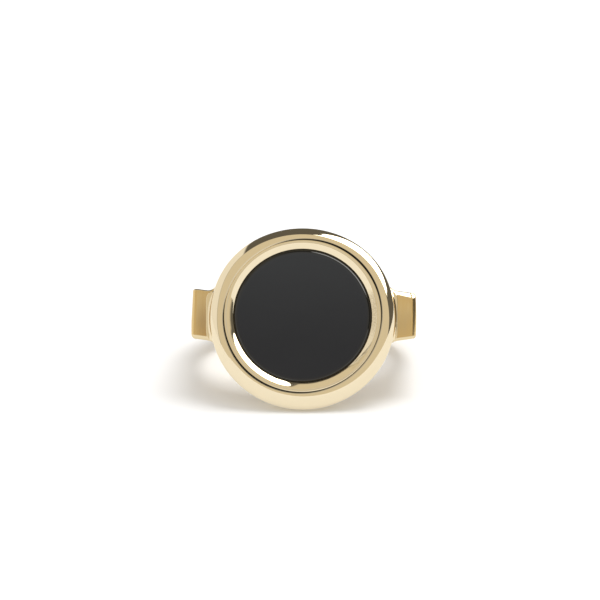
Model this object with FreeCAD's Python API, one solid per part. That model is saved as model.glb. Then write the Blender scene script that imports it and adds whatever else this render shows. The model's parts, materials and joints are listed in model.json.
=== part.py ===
import FreeCAD, Part

import math
import os

# Signet ring with a round, slightly oval head: a flat black stone in a burnished bezel, held in a
# polished collar on a tapered shank with squared shoulders.
#
# The parts are modelled in the ring's own axes and then laid down as the ring rests on a table.
#   Ring axes: X runs shoulder to shoulder, Y along the finger, Z out through the stone's face.
#   The origin of the ring axes is the centre of the finger bore.
# At rest the ring lies on the lower edge of its head and the lower rear edge of its shank.
# All lengths are in millimetres.

# ---- Driving dimensions ----

# Shank
BORE_R = 8.65               # finger bore radius
SIDE_R = 10.35              # half of the band's breadth from side to side
BAND_SHIFT = 0.10           # the band's outside lies this far to the right of the bore's centre
BACK_R = 10.30              # from the bore's centre to the band's outside behind the finger
SHOULDER_Z = 10.70          # flat front face of the shoulders
RIGHT_CORNER_R = 0.75       # rounding of the shoulders' outer corners
LEFT_CORNER_R = 0.40
BACK_HALF_WIDTH = 1.45      # half of the band's width at the back
TIP_HALF_WIDTH = 2.06       # half width at the outer end of a shoulder
SHOULDER_TAPER = 0.14       # growth of the half width from a shoulder's tip towards the head
TAPER_START_Z = 5.50        # level where the shoulders' taper begins
SQUARE_GROWTH = 0.40        # extra width at the tip of the left shoulder's upper side
SQUARE_REACH = 2.20         # length over which that extra width fades out towards the head
FLARE_X = 8.60              # where the shoulders start to flare into the head
FLARE_GROWTH = 1.00         # growth of the flare, per millimetre squared
FLARE_START_Z = 7.20        # level where the flare begins
FLARE_HALF_WIDTH = 4.00     # half width of the seat under the head
EDGE_R = 0.30               # rounding of the shank's outer edges
BORE_EDGE_R = 0.22          # comfort rounding of the bore's edges

# Head
HEAD_TOP_Z = 12.50          # crest of the collar
HEAD_BOTTOM_Z = 9.60        # underside of the head
HEAD_R = 8.48               # collar's widest radius, along X
HEAD_OVAL = 0.981           # collar's height over its width
HEAD_DROP = 0.247           # the collar is this much fuller on its lower side
WIDEST_Z = 11.40            # level of the collar's widest line
RIDGE_R = 7.80              # soft ridge between the collar's crest and its outer slope
RIDGE_Z = 12.36
CREST_R = 7.46              # radius of the crest line
SLOPE_BULGE_X = 0.19        # middle of the outer slope: this far inside the widest line
SLOPE_BULGE_Z = 0.62        # and this far above it
CREST_FALL = 0.025          # fall of the crest half way to the ridge
UNDER_R = 7.55              # where the collar's flat underside ends
UNDER_EDGE_Z = 10.05        # where the rounded lower edge meets the wall
UNDER_EDGE_R = 8.08         # radius of the wall at that level
UNDER_ROUND = 0.13          # the rounded lower edge's middle, in from the wall's foot
WALL_BULGE = 0.07           # bulge of the wall between its foot and the widest line

# Setting
SETTING_OVAL = 0.967        # bezel's and stone's height over their width
GROOVE_R = 7.176            # fine groove between the collar and the bezel
GROOVE_Z = 12.22
FLANK_TOP_R = 7.56          # the groove's outer flank meets the collar's crest here
FLANK_HOLLOW_R = 7.266      # middle of that flank
FLANK_HOLLOW_Z = 12.44
LIP_CREST_OUT_R = 7.08      # outer and inner edge of the bezel's crest
LIP_CREST_IN_R = 6.88
LIP_CREST_Z = 12.42
LIP_CREST_FALL = 0.02       # the crest's edges lie this much lower than its middle
LIP_TIP_R = 6.26            # lip's inner edge, over the stone
LIP_TIP_Z = 12.06
STONE_TOP_Z = 12.10
STONE_FLAT_R = 6.05         # flat part of the stone's face
STONE_R = 6.40
BEVEL_DEPTH = 0.20          # depth of the bevel round the stone's face
STONE_BOTTOM_Z = 11.10
SEAT_WALL_R = 6.42          # inner wall of the bezel below its lip
SEAT_INNER_R = 5.60
PLATE_TOP_Z = 10.30

# Solder
SOLDER_START_R = 8.20       # the beads start inside the collar's wall and are cut back to it
SOLDER_OUT_R = 8.90         # outer edge of the beads on the shoulders
SOLDER_TOP_R = 8.46         # top edge of the beads on the collar's wall
SOLDER_HEIGHT = 0.50        # height of the beads above the shoulders
SOLDER_INSET = 0.12         # distance from a bead's end to the shoulder's edge

# Rest pose
MESH_STEP = 0.01            # fineness of the surface points that set it
LEAST_TILT = 5.0            # degrees; the tilt is looked for between these two
MOST_TILT = 45.0
TILT_HALVINGS = 40          # times that range is halved

# Construction
GRID_COLUMNS = 46           # points across and up the shank's side faces
GRID_ROWS = 30
GRID_MARGIN = 1.0           # the side faces reach this far past the shank
SIDE_CLEARANCE = 1.0        # edges further than this from the middle plane lie at a side
SAME_RADIUS = 0.001         # how closely an edge at the bore keeps to the bore's radius
TOOL_REACH = 20.0           # size of the trimming tools
CUT_OVERSHOOT = 0.20        # the head's hollow is cut this far past its faces


# ---- Helpers ----

def point(x, z):
    """A point in the XZ plane."""
    return FreeCAD.Vector(x, 0.0, z)


def line(start, end):
    return Part.LineSegment(start, end).toShape()


def arc(start, middle, end):
    return Part.Arc(start, middle, end).toShape()


def revolve(edges):
    """Solid of revolution about Z from a closed outline in the XZ plane."""
    face = Part.Face(Part.Wire(edges))
    return Part.Solid(face.revolve(FreeCAD.Vector(0, 0, 0), FreeCAD.Vector(0, 0, 1), 360.0))


def outline_edges(points):
    """Straight edges round a closed outline."""
    return [line(points[i], points[(i + 1) % len(points)]) for i in range(len(points))]


def make_oval(shape, ratio, shift=0.0):
    """Scales a round shape along the finger direction, then moves it that way."""
    matrix = FreeCAD.Matrix()
    matrix.scale(1.0, ratio, 1.0)
    oval = shape.transformGeometry(matrix)
    oval.translate(FreeCAD.Vector(0.0, shift, 0.0))
    return oval


def prism(wire, direction):
    """Solid swept from a closed flat wire, the same distance to both sides of its plane."""
    face = Part.Face(wire)
    face.translate(direction * -1.0)
    return face.extrude(direction * 2.0)


# ---- Head ----

def head_skin():
    """The head's outside as one full solid: the collar, its rounded lower edge and the underside."""
    axis_top = point(0.0, HEAD_TOP_Z)
    axis_bottom = point(0.0, HEAD_BOTTOM_Z)
    under = point(UNDER_R, HEAD_BOTTOM_Z)
    under_edge = point(UNDER_EDGE_R, UNDER_EDGE_Z)
    under_middle = point(UNDER_EDGE_R - UNDER_ROUND, HEAD_BOTTOM_Z + UNDER_ROUND)
    widest = point(HEAD_R, WIDEST_Z)
    wall_middle = point(0.5 * (UNDER_EDGE_R + HEAD_R) + WALL_BULGE, 0.5 * (UNDER_EDGE_Z + WIDEST_Z))
    ridge = point(RIDGE_R, RIDGE_Z)
    slope_middle = point(HEAD_R - SLOPE_BULGE_X, WIDEST_Z + SLOPE_BULGE_Z)
    crest = point(CREST_R, HEAD_TOP_Z)
    crest_middle = point(0.5 * (CREST_R + RIDGE_R), HEAD_TOP_Z - CREST_FALL)
    skin = revolve([
        line(axis_bottom, under),
        arc(under, under_middle, under_edge),
        arc(under_edge, wall_middle, widest),
        arc(widest, slope_middle, ridge),
        arc(ridge, crest_middle, crest),
        line(crest, axis_top),
        line(axis_top, axis_bottom),
    ])
    return make_oval(skin, HEAD_OVAL, -HEAD_DROP)


def head_cavity():
    """What the collar leaves free for the back plate and the bezel, flared above the groove."""
    below = HEAD_BOTTOM_Z - CUT_OVERSHOOT
    above = HEAD_TOP_Z + CUT_OVERSHOOT
    groove = point(GROOVE_R, GROOVE_Z)
    flank_top = point(FLANK_TOP_R, above)
    flank_middle = point(FLANK_HOLLOW_R, FLANK_HOLLOW_Z)
    cavity = revolve([
        line(point(0.0, below), point(GROOVE_R, below)),
        line(point(GROOVE_R, below), groove),
        arc(groove, flank_middle, flank_top),
        line(flank_top, point(0.0, above)),
        line(point(0.0, above), point(0.0, below)),
    ])
    return make_oval(cavity, SETTING_OVAL)


def head_frame():
    return head_skin().cut(head_cavity())


def back_plate():
    points = [point(0.0, HEAD_BOTTOM_Z), point(GROOVE_R, HEAD_BOTTOM_Z),
              point(GROOVE_R, PLATE_TOP_Z), point(0.0, PLATE_TOP_Z)]
    return make_oval(revolve(outline_edges(points)), SETTING_OVAL)


def bezel():
    """Tube with a lip that is burnished over the stone's bevel."""
    groove = point(GROOVE_R, GROOVE_Z)
    crest_out = point(LIP_CREST_OUT_R, LIP_CREST_Z - LIP_CREST_FALL)
    crest_in = point(LIP_CREST_IN_R, LIP_CREST_Z - LIP_CREST_FALL)
    crest_middle = point(0.5 * (LIP_CREST_OUT_R + LIP_CREST_IN_R), LIP_CREST_Z)
    tip = point(LIP_TIP_R, LIP_TIP_Z)
    bevel_slope = BEVEL_DEPTH / (STONE_R - STONE_FLAT_R)
    tip_under = point(LIP_TIP_R, STONE_TOP_Z - BEVEL_DEPTH + (STONE_R - LIP_TIP_R) * bevel_slope)
    girdle_top = point(STONE_R, STONE_TOP_Z - BEVEL_DEPTH)
    lip_root = point(SEAT_WALL_R, STONE_TOP_Z - BEVEL_DEPTH)
    tube = revolve([
        line(point(SEAT_WALL_R, PLATE_TOP_Z), point(GROOVE_R, PLATE_TOP_Z)),
        line(point(GROOVE_R, PLATE_TOP_Z), groove),
        line(groove, crest_out),
        arc(crest_out, crest_middle, crest_in),
        line(crest_in, tip),
        line(tip, tip_under),
        line(tip_under, girdle_top),
        line(girdle_top, lip_root),
        line(lip_root, point(SEAT_WALL_R, PLATE_TOP_Z)),
    ])
    return make_oval(tube, SETTING_OVAL)


def stone_seat():
    points = [point(SEAT_INNER_R, PLATE_TOP_Z), point(SEAT_WALL_R, PLATE_TOP_Z),
              point(SEAT_WALL_R, STONE_BOTTOM_Z), point(SEAT_INNER_R, STONE_BOTTOM_Z)]
    return make_oval(revolve(outline_edges(points)), SETTING_OVAL)


def setting_cement():
    points = [point(0.0, PLATE_TOP_Z), point(SEAT_INNER_R, PLATE_TOP_Z),
              point(SEAT_INNER_R, STONE_BOTTOM_Z), point(0.0, STONE_BOTTOM_Z)]
    return make_oval(revolve(outline_edges(points)), SETTING_OVAL)


def onyx_stone():
    points = [point(0.0, STONE_BOTTOM_Z), point(STONE_R, STONE_BOTTOM_Z),
              point(STONE_R, STONE_TOP_Z - BEVEL_DEPTH), point(STONE_FLAT_R, STONE_TOP_Z),
              point(0.0, STONE_TOP_Z)]
    return make_oval(revolve(outline_edges(points)), SETTING_OVAL)


# ---- Shank ----

def smooth_step(value, start, end):
    """Rises smoothly from 0 at start to 1 at end."""
    share = min(1.0, max(0.0, (value - start) / (end - start)))
    return share * share * (3.0 - 2.0 * share)


def half_width(x, z):
    """Half of the shank's width along the finger, at a point of its front view."""
    rise = (z + BACK_R) / (SHOULDER_Z + BACK_R)
    straight = BACK_HALF_WIDTH + (TIP_HALF_WIDTH - BACK_HALF_WIDTH) * rise
    inward = max(0.0, SIDE_R - abs(x - BAND_SHIFT))
    taper = SHOULDER_TAPER * inward * smooth_step(z, TAPER_START_Z, SHOULDER_Z)
    past_flare = max(0.0, FLARE_X - abs(x))
    flare = FLARE_GROWTH * past_flare ** 2 * smooth_step(z, FLARE_START_Z, SHOULDER_Z)
    room = FLARE_HALF_WIDTH - straight
    widened = taper + flare
    return straight + room * math.tanh(widened / room)


def squared_tip(x, z):
    """Extra width that squares up the left shoulder's upper side."""
    share = smooth_step(BAND_SHIFT - x, SIDE_R - SQUARE_REACH, SIDE_R)
    return SQUARE_GROWTH * share * smooth_step(z, TAPER_START_Z, SHOULDER_Z)


def side_face_solid(sign, inset=0.0):
    """Everything on the inner side of the shank's upper (sign 1) or lower (sign -1) side face."""
    reach_x = SIDE_R + BAND_SHIFT + GRID_MARGIN
    low_z = -BACK_R - GRID_MARGIN
    high_z = SHOULDER_Z + GRID_MARGIN
    grid = []
    for column in range(GRID_COLUMNS):
        x = -reach_x + 2.0 * reach_x * column / (GRID_COLUMNS - 1)
        spots = []
        for row in range(GRID_ROWS):
            z = low_z + (high_z - low_z) * row / (GRID_ROWS - 1)
            width = half_width(x, z) - inset
            if sign > 0:
                width += squared_tip(x, z)
            spots.append(FreeCAD.Vector(x, sign * width, z))
        grid.append(spots)
    surface = Part.BSplineSurface()
    surface.interpolate(grid)
    return surface.toShape().extrude(FreeCAD.Vector(0.0, -sign * TOOL_REACH, 0.0))


def corner_arc(centre_x, radius, side):
    """Rounded outer corner of the right (side 1) or left (side -1) shoulder, from its front face."""
    centre_z = SHOULDER_Z - radius
    diagonal = radius * math.sqrt(0.5)
    return arc(point(centre_x, SHOULDER_Z), point(centre_x + side * diagonal, centre_z + diagonal),
               point(centre_x + side * radius, centre_z))


def front_outline():
    """Outside of the shank seen along the finger: round behind, straight sides, squared shoulders."""
    right_x = BAND_SHIFT + SIDE_R
    left_x = BAND_SHIFT - SIDE_R
    round_z = SIDE_R - BACK_R
    right_corner_x = right_x - RIGHT_CORNER_R
    left_corner_x = left_x + LEFT_CORNER_R
    return Part.Wire([
        line(point(left_corner_x, SHOULDER_Z), point(right_corner_x, SHOULDER_Z)),
        corner_arc(right_corner_x, RIGHT_CORNER_R, 1),
        line(point(right_x, SHOULDER_Z - RIGHT_CORNER_R), point(right_x, round_z)),
        arc(point(right_x, round_z), point(BAND_SHIFT, -BACK_R), point(left_x, round_z)),
        line(point(left_x, round_z), point(left_x, SHOULDER_Z - LEFT_CORNER_R)),
        corner_arc(left_corner_x, LEFT_CORNER_R, -1),
    ])


def within_width(shape, inset=0.0):
    """Trims a shape to the shank's two side faces."""
    return shape.common(side_face_solid(1, inset)).common(side_face_solid(-1, inset))


def band_blank():
    """The shank before its edges are rounded and the head is let into it."""
    outside = prism(front_outline(), FreeCAD.Vector(0, TOOL_REACH, 0))
    bore = Part.makeCylinder(BORE_R, 2 * TOOL_REACH, FreeCAD.Vector(0, -TOOL_REACH, 0),
                             FreeCAD.Vector(0, 1, 0))
    return within_width(outside).cut(bore).Solids[0]


def rim_edges(shape, on_bore):
    """Edges along the shank's two sides, either those round the bore or the outer ones."""
    chosen = []
    for edge in shape.Edges:
        span = edge.LastParameter - edge.FirstParameter
        spots = [edge.valueAt(edge.FirstParameter + share * span) for share in (0.1, 0.5, 0.9)]
        above = all(spot.y > SIDE_CLEARANCE for spot in spots)
        below = all(spot.y < -SIDE_CLEARANCE for spot in spots)
        beside = above or below
        at_bore = all(abs(math.hypot(spot.x, spot.z) - BORE_R) < SAME_RADIUS for spot in spots)
        if beside and at_bore == on_bore:
            chosen.append(edge)
    return chosen


def shank():
    band = band_blank()
    band = band.makeFillet(EDGE_R, rim_edges(band, False))
    band = band.makeFillet(BORE_EDGE_R, rim_edges(band, True))
    return band.cut(head_skin())


def shoulder_solder(sign):
    """Bead of solder in the corner between one shoulder's front face and the collar's wall."""
    foot = point(SOLDER_START_R, SHOULDER_Z)
    out = point(SOLDER_OUT_R, SHOULDER_Z)
    top = point(SOLDER_TOP_R, SHOULDER_Z + SOLDER_HEIGHT)
    inside = point(SOLDER_START_R, SHOULDER_Z + SOLDER_HEIGHT)
    ring = make_oval(revolve(outline_edges([foot, out, top, inside])), HEAD_OVAL, -HEAD_DROP)
    half_space = Part.makeBox(TOOL_REACH, 2 * TOOL_REACH, 2 * TOOL_REACH,
                              FreeCAD.Vector(0.0 if sign > 0 else -TOOL_REACH, -TOOL_REACH, 0.0))
    bead = within_width(ring.common(half_space), SOLDER_INSET)
    return bead.cut(head_skin())


# ---- Rest pose ----

def surface_points(shape):
    return shape.tessellate(MESH_STEP)[0]


def lowest_level(points, tilt):
    """Lowest point of a piece when the finger direction leans back by the tilt."""
    return min(spot.y * math.cos(tilt) + spot.z * math.sin(tilt) for spot in points)


def rest_tilt(head_points, shank_points):
    """Tilt at which the head's lower edge and the shank's rear edge stand level."""
    low = math.radians(LEAST_TILT)
    high = math.radians(MOST_TILT)
    for _ in range(TILT_HALVINGS):
        middle = 0.5 * (low + high)
        if lowest_level(head_points, middle) < lowest_level(shank_points, middle):
            low = middle
        else:
            high = middle
    return 0.5 * (low + high)


def rest_placement(pieces):
    """Rotation and shift that lay the ring down, with the origin under the middle of its box."""
    head_points = surface_points(pieces["head_frame"]) + surface_points(pieces["back_plate"])
    shank_points = surface_points(pieces["shank"])
    tilt = rest_tilt(head_points, shank_points)
    turn = FreeCAD.Rotation(FreeCAD.Vector(1, 0, 0), 90.0 - math.degrees(tilt))
    laid = [turn.multVec(spot) for spot in head_points + shank_points]
    middle_x = 0.5 * (min(spot.x for spot in laid) + max(spot.x for spot in laid))
    middle_y = 0.5 * (min(spot.y for spot in laid) + max(spot.y for spot in laid))
    shift = FreeCAD.Vector(-middle_x, -middle_y, -min(spot.z for spot in laid))
    print("tilt of the finger bore's plane: %.3f degrees" % math.degrees(tilt))
    print("bore centre: %.4f %.4f %.4f" % tuple(shift))
    print("bore axis: %.5f %.5f %.5f" % tuple(turn.multVec(FreeCAD.Vector(0, 1, 0))))
    return FreeCAD.Placement(shift, turn)


# ---- Assembly ----

def main():
    pieces = {
        "shank": shank(),
        "head_frame": head_frame(),
        "back_plate": back_plate(),
        "bezel": bezel(),
        "stone_seat": stone_seat(),
        "setting_cement": setting_cement(),
        "onyx_stone": onyx_stone(),
        "shoulder_solder_left": shoulder_solder(-1),
        "shoulder_solder_right": shoulder_solder(1),
    }
    placement = rest_placement(pieces)
    os.makedirs("parts", exist_ok=True)
    for name, shape in pieces.items():
        laid = shape.copy()
        laid.Placement = placement.multiply(laid.Placement)
        laid.exportStep("parts/%s.step" % name)
        print("%s: %d solid(s), %.2f mm3, valid %s"
              % (name, len(shape.Solids), shape.Volume, shape.isValid()))


main()
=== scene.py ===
import json
import math

import bmesh
import bpy
from mathutils import Matrix, Vector, noise


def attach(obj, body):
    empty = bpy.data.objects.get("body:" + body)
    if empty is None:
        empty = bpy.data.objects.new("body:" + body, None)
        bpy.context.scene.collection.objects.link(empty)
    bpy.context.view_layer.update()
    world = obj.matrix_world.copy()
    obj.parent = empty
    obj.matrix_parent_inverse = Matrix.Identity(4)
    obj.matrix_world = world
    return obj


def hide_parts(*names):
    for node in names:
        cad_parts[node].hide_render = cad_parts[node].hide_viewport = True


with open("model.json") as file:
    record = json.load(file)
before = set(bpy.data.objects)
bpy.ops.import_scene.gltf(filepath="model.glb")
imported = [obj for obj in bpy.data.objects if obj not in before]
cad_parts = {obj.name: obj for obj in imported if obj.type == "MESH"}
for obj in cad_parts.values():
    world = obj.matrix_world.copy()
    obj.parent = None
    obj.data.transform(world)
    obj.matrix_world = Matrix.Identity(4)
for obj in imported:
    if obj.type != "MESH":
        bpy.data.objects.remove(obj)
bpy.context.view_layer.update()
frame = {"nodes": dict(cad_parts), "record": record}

# Signet ring: round black stone in a burnished bezel and a polished collar, on a squared shank.
#
# The pieces are built in the ring's own axes, in millimetres, and then laid into the frame:
#   X from shoulder to shoulder, Y along the finger, Z out through the stone's face,
#   with the origin at the centre of the finger bore.
# Clock angles run clockwise from the top of the head (+Y), as seen from the front (+Z).

MM = 0.001
TAU = 2.0 * math.pi

# ---- The ring's axes and sizes, from the frame ----

bore = frame["record"]["mounts"][0]
bore_centre = Vector(bore["pos_m"])
side_axis = Vector((1.0, 0.0, 0.0))
finger_axis = Vector(bore["axis"]).normalized()
face_axis = side_axis.cross(finger_axis)
ring_axes = Matrix((side_axis, finger_axis, face_axis)).transposed()
ring_to_world = Matrix.Translation(bore_centre) @ ring_axes.to_4x4() @ Matrix.Scale(MM, 4)
world_to_ring = ring_to_world.inverted()


def ring_extent(node):
    """Lowest and highest corner of a CAD node in the ring's axes, in millimetres."""
    spots = [world_to_ring @ vertex.co for vertex in frame["nodes"][node].data.vertices]
    low = Vector([min(spot[axis] for spot in spots) for axis in range(3)])
    high = Vector([max(spot[axis] for spot in spots) for axis in range(3)])
    return low, high


head_low, head_high = ring_extent("head_frame")
stone_low, stone_high = ring_extent("onyx_stone")
shank_low, shank_high = ring_extent("shank")
bezel_high = ring_extent("bezel")[1]
plate_high = ring_extent("back_plate")[1]
cement_high = ring_extent("setting_cement")[1]

BORE_R = bore["dims"]["r_mm"]
SIDE_R = 0.5 * (shank_high.x - shank_low.x)
BAND_SHIFT = 0.5 * (shank_high.x + shank_low.x)
BACK_R = -shank_low.z
SHOULDER_Z = shank_high.z
HEAD_R = head_high.x
HEAD_TOP = head_high.z
HEAD_BOTTOM = head_low.z
HEAD_OVAL = (head_high.y - head_low.y) / (2.0 * HEAD_R)
HEAD_SHIFT = 0.5 * (head_high.y + head_low.y)
PLATE_R = plate_high.x
SETTING_OVAL = plate_high.y / PLATE_R
LIP_TOP = bezel_high.z
STONE_R = stone_high.x
STONE_TOP = stone_high.z
STONE_BOTTOM = stone_low.z
PLATE_TOP = plate_high.z
SEAT_INNER_R = cement_high.x

# ---- Finer shapes, in millimetres ----

ROLL_R = 1.35               # radius of the collar's crest and outer slope
ROLL_TURN_R = 0.50          # tighter radius where the slope turns into the wall
ROLL_TURN_LEAN = 55.0       # lean of the surface, in degrees, where that turn begins
WALL_IN = 0.40              # how far the collar's wall has come in above its rounded lower edge
WALL_BELLY = 0.13           # how far it has come in half way down
LOWER_EDGE_RISE = 0.45      # height of the rounded lower edge
LOWER_EDGE_IN = 0.13        # middle of that rounding: in from the wall's foot
LOWER_EDGE_UP = 0.14        # and up from the underside
UNDERSIDE_R = HEAD_R - 0.93
COLLAR_FULLNESS = 0.10      # the collar is fuller by this much at its upper left and upper right
FULLEST_DEG = 52.0          # it is fullest this far from the top of the head,
FULLNESS_SPAN_DEG = 38.0    # and fuller up to this far on either side of that place, in degrees
TOP_EASE = 0.045            # it is let in by this much at the very top, inside the CAD's height,
TOP_EASE_DEG = 30.0         # and less and less up to this far from it, in degrees

SEAM_R = PLATE_R + 0.06     # mean radius of the seam between collar and bezel
SEAM_WOBBLE = 0.075         # the seam is out of round by this much
SEAM_GAP = 0.03             # its mean width
SEAM_GAP_SWING = 0.045      # how much wider it opens at its two open sides
SEAM_OPEN_HOUR = 1.40       # clock hour where it opens widest
SEAM_CLOSED_HOUR = 10.4     # clock hour where it is burnished shut
SEAM_FADE = (0.35, 0.75)    # its dark line fades in between these angles from there, in radians
SEAM_DEPTH = 0.45
EDGE_ROUND = 0.05           # rounding of both edges of the seam
SEAM_LINE_REACH = (0.8, 1.8)    # its dark line fades out over these multiples of that rounding

LIP_CREST_R = 7.00          # crest of the bezel
LIP_TURNS = (               # radius and lean, in degrees, from the seam over the crest to the lip's tip
    (SEAM_R - EDGE_ROUND, -14.0), (LIP_CREST_R, 0.0), (6.80, 28.5), (6.42, 32.0), (6.29, 80.0),
)
LIP_EASES = (               # the lip's tip is pressed down less by this much between these hours
    (0.06, (4.4, 5.0, 6.05, 6.35)), (0.02, (8.5, 8.7, 9.4, 9.7)),
)
MARK_HEIGHT = 0.006         # relief of the burnishing marks
MARK_FIRST_HOUR = 2.2
MARK_LAST_HOUR = 4.7
MARK_ENDS = (0.15, 0.10)    # they fade in and out over these angles, in radians
MARK_INNER = 0.10           # across the slope they fade in over this distance from the lip's tip
MARK_OUTER = (0.24, 0.08)   # and out between these distances inside the crest
MARK_FADE_HOURS = (3.2, 3.7)    # their tone grows fainter between these hours,
MARK_FADE = 0.65                # by this share
DENTS = (4.0, 5.0)          # dents per millimetre round the lip and across it

STONE_FLAT_R = 6.07         # flat of the stone's face, inside its bevel
STONE_DOME = 0.04           # rise of the stone's face from its edge to its middle
BEVEL_SLOPE = 0.58          # fall of the stone's bevel over its width
STONE_EDGE_R = 0.03         # rounding of the stone's upper edges
STONE_FOOT_R = 0.08         # and of its lower edge
STONE_GAP = 0.03            # the stone is this much smaller in radius than its CAD solid
STONE_PLAY = 0.02           # play between the CAD solid's girdle and the bezel
GIRDLE_DROP = 0.20          # from the top of the stone's face to its girdle
LIP_THICKNESS = 0.03        # thickness of the lip's tip
GIRDLE_CLEARANCE = 0.08     # the bezel's straight wall starts this far below the girdle
LIP_UNDERSIDE_Z = STONE_TOP - 0.06      # points of the bezel below this level aren't on its slope

LIP_TIP_R = LIP_TURNS[-1][0]
CLOCK_STEPS = 540           # points round the head


# ---- Outlines ----

def arc_through(start, middle, end, step=0.03):
    """Points along the arc through three points, about one step apart, both ends included."""
    a, b, c = Vector(start), Vector(middle), Vector(end)
    cross = 2.0 * ((b.x - a.x) * (c.y - a.y) - (b.y - a.y) * (c.x - a.x))
    ab = (b - a).length_squared
    ac = (c - a).length_squared
    centre = a + Vector((
        (c.y - a.y) * ab - (b.y - a.y) * ac,
        (b.x - a.x) * ac - (c.x - a.x) * ab,
    )) / cross
    first = math.atan2(a.y - centre.y, a.x - centre.x)
    sweep = math.atan2(c.y - centre.y, c.x - centre.x) - first
    if cross > 0.0 and sweep < 0.0:
        sweep += TAU
    if cross < 0.0 and sweep > 0.0:
        sweep -= TAU
    radius = (a - centre).length
    count = max(3, math.ceil(abs(sweep) * radius / step))
    turns = [first + sweep * index / count for index in range(count + 1)]
    return [centre + radius * Vector((math.cos(turn), math.sin(turn))) for turn in turns]


def round_corner(before, corner, after, radius, count=8):
    """Points of the arc that rounds a corner between two straight runs."""
    corner = Vector(corner)
    back = (Vector(before) - corner).normalized()
    ahead = (Vector(after) - corner).normalized()
    half = 0.5 * back.angle(ahead)
    reach = radius / math.tan(half)
    centre = corner + (back + ahead).normalized() * (radius / math.sin(half))
    start = corner + back * reach - centre
    end = corner + ahead * reach - centre
    whole = start.angle(end)
    spots = []
    for index in range(count + 1):
        share = index / count
        spots.append(centre + (start * math.sin((1.0 - share) * whole)
                               + end * math.sin(share * whole)) / math.sin(whole))
    return spots


def rounded(corners, radii):
    """Closed outline through corners, each rounded by its own radius."""
    spots = []
    count = len(corners)
    for index, radius in enumerate(radii):
        before, corner, after = corners[index - 1], corners[index], corners[(index + 1) % count]
        if radius > 0.0:
            spots.extend(round_corner(before, corner, after, radius))
        else:
            spots.append(Vector(corner))
    return spots


def spread(spots, step):
    """A closed outline with its points at most one step apart."""
    dense = []
    for start, end in zip(spots, spots[1:] + spots[:1]):
        count = max(1, math.ceil((end - start).length / step))
        dense.extend(start.lerp(end, index / count) for index in range(count))
    return dense


# ---- Mesh makers ----

def smooth_step(value, start, end):
    """Rises smoothly from 0 at start to 1 at end."""
    share = min(1.0, max(0.0, (value - start) / (end - start)))
    return share * share * (3.0 - 2.0 * share)


def hour_angle(hour):
    return TAU * hour / 12.0


def clock_point(angle, r, z, oval, shift=0.0):
    return Vector((r * math.sin(angle), r * oval * math.cos(angle) + shift, z))


def setting_point(angle, r, z):
    """Place of a point of the bezel, stone, seat or plate."""
    return clock_point(angle, r, z, SETTING_OVAL)


def make_mesh(name, verts, faces, masks=None):
    """Mesh in ring axes, with an optional value per point under each mask's name."""
    mesh = bpy.data.meshes.new(name)
    mesh.from_pydata(verts, [], faces)
    for mask, values in (masks or {}).items():
        layer = mesh.attributes.new(mask, "FLOAT", "POINT")
        layer.data.foreach_set("value", values)
    return mesh


def finish_piece(name, mesh, material):
    """Lays a mesh into the frame as the piece that stands for the CAD node of that name."""
    mesh.transform(ring_to_world)
    bm = bmesh.new()
    bm.from_mesh(mesh)
    bmesh.ops.recalc_face_normals(bm, faces=bm.faces)
    bm.to_mesh(mesh)
    bm.free()
    mesh.polygons.foreach_set("use_smooth", [True] * len(mesh.polygons))
    mesh.materials.append(material)
    piece = bpy.data.objects.new(name + "_piece", mesh)
    bpy.context.scene.collection.objects.link(piece)
    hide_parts(name)
    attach(piece, "root")
    return piece


def band_faces(loops, count, closed=True):
    """Faces between neighbouring loops of count points, and from the last to the first if closed."""
    faces = []
    for step in range(loops if closed else loops - 1):
        here = step * count
        there = ((step + 1) % loops) * count
        for index in range(count):
            after = (index + 1) % count
            faces.append((here + index, here + after, there + after, there + index))
    return faces


def ring_lathe(name, outline, place, masks=None):
    """Closed mesh from a closed outline turned round the face axis, clear of that axis."""
    verts = []
    values = {mask: [] for mask in masks or {}}
    for step in range(CLOCK_STEPS):
        angle = TAU * step / CLOCK_STEPS
        verts.extend(place(angle, spot.x, spot.y) for spot in outline)
        for mask, rule in (masks or {}).items():
            values[mask].extend(rule(angle, spot.x, spot.y) for spot in outline)
    return make_mesh(name, verts, band_faces(CLOCK_STEPS, len(outline)), values)


def disc_lathe(name, outline, place):
    """Closed mesh from an open outline whose two ends lie on the face axis."""
    verts = []
    faces = []
    body = outline[1:-1]
    count = len(body)
    for step in range(CLOCK_STEPS):
        angle = TAU * step / CLOCK_STEPS
        verts.extend(place(angle, spot.x, spot.y) for spot in body)
    for step in range(CLOCK_STEPS):
        here = step * count
        there = ((step + 1) % CLOCK_STEPS) * count
        for index in range(count - 1):
            faces.append((here + index, here + index + 1, there + index + 1, there + index))
    for end, index in ((outline[0], 0), (outline[-1], count - 1)):
        verts.append(place(0.0, 0.0, end.y))
        for step in range(CLOCK_STEPS):
            after = (step + 1) % CLOCK_STEPS
            faces.append((len(verts) - 1, step * count + index, after * count + index))
    return make_mesh(name, verts, faces)


# ---- Node graphs ----

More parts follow.
